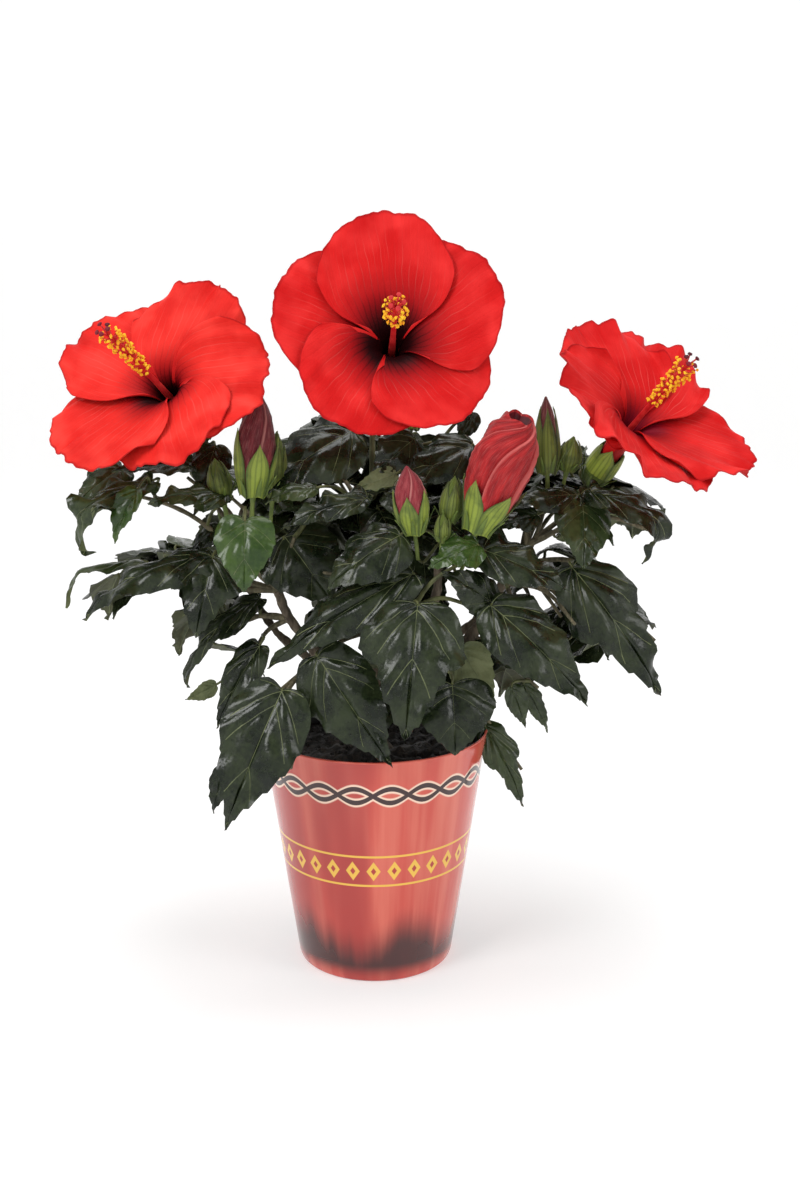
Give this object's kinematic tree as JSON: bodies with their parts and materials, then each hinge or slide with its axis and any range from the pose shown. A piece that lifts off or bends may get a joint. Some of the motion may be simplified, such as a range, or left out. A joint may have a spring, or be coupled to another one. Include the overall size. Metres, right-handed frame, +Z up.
{
  "type": "potted hibiscus shrub",
  "caption": "Flowering hibiscus shrub with large red blooms and dark glossy foliage, growing in a tapered round pot.",
  "frame": {"origin": "centre of the pot's flat underside, where it stands", "axes": "+Z up from the pot through the crown, -Y towards the side that the centre bloom faces, +X to that viewer's right"},
  "size_m": [0.411, 0.2354, 0.4588],
  "materials": {
    "pot": "printed coral red plastic with a soft gloss",
    "soil": "moist crumbly compost",
    "bark": "grey-brown young bark with fine ridges",
    "stalk": "green to red-brown flower and leaf stalks",
    "leaf": "very dark green waxy leaf, glossy above and matte beneath",
    "petal": "scarlet petal, satin, with fine veins and a dark throat",
    "column": "smooth red stamen column",
    "anther": "golden pollen grains",
    "calyx": "bright yellow-green sepals with darker ribs",
    "bud": "furled red petals, silky and streaked"
  },
  "bodies": {
    "root": {"bough_centre": "bark", "bough_left": "bark", "bough_left_rear": "bark", "bough_rear": "bark", "bough_right": "bark", "bough_right_rear": "bark", "bud_green_centre": "bud", "bud_green_low": "bud", "bud_left_dark": "bud", "bud_left_green": "bud", "bud_left_rear": "bud", "bud_left_small": "bud", "bud_pink": "bud", "bud_rear": "bud", "bud_red_opening": "bud", "bud_right_short": "bud", "bud_right_tall": "bud", "calyx_centre": "calyx", "calyx_left": "calyx", "calyx_right": "calyx", "column_centre": "column", "column_left": "column", "column_right": "column", "corolla_centre": "petal", "corolla_left": "petal", "corolla_right": "petal", "flower_stalk_centre": "stalk", "flower_stalk_left": "stalk", "flower_stalk_right": "stalk", "foliage_above_pot": "leaf", "foliage_centre": "leaf", "foliage_front": "leaf", "foliage_front_left": "leaf", "foliage_left_centre": "leaf", "foliage_left_hanging": "leaf", "foliage_left_lower": "leaf", "foliage_left_rear_low": "leaf", "foliage_left_upper": "leaf", "foliage_rear": "leaf", "foliage_rear_left": "leaf", "foliage_rear_low": "leaf", "foliage_rear_right": "leaf", "foliage_right_front": "leaf", "foliage_right_hanging": "leaf", "foliage_right_lower": "leaf", "foliage_right_rear_low": "leaf", "foliage_right_rim": "leaf", "foliage_right_upper": "leaf", "main_stem": "bark", "pot": "pot", "soil": "soil"}
  },
  "joints": []
}
